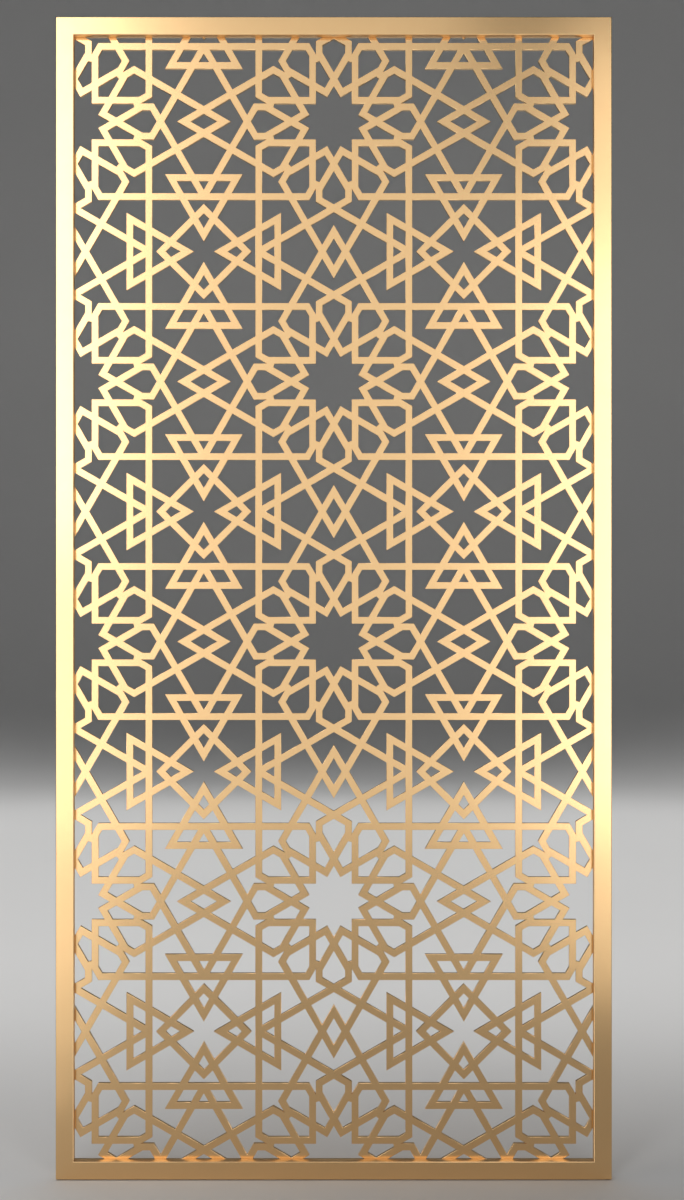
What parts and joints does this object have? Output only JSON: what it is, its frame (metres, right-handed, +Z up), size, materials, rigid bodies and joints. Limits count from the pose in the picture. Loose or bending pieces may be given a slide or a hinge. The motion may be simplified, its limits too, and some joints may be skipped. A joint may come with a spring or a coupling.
{
  "type": "mashrabiya screen",
  "caption": "Tall framed metal screen, cut through with a repeating star lattice, fixed flat to a wall or in an opening to filter light and view.",
  "frame": {"origin": "on the frame's back face, in the middle of the top rail, halfway along it and halfway across the flat land of its back", "axes": "+Z up along the screen's height, +Y out of the back towards the wall, +X to the right seen from the front; the front faces -Y"},
  "size_m": [1, 0.03, 2.0907],
  "materials": {
    "frame_gold": "satin gold",
    "lattice_gold": "satin gold"
  },
  "bodies": {
    "root": {"frame": "frame_gold", "lattice_upper": "lattice_gold", "lattice_lower": "lattice_gold"}
  },
  "joints": []
}
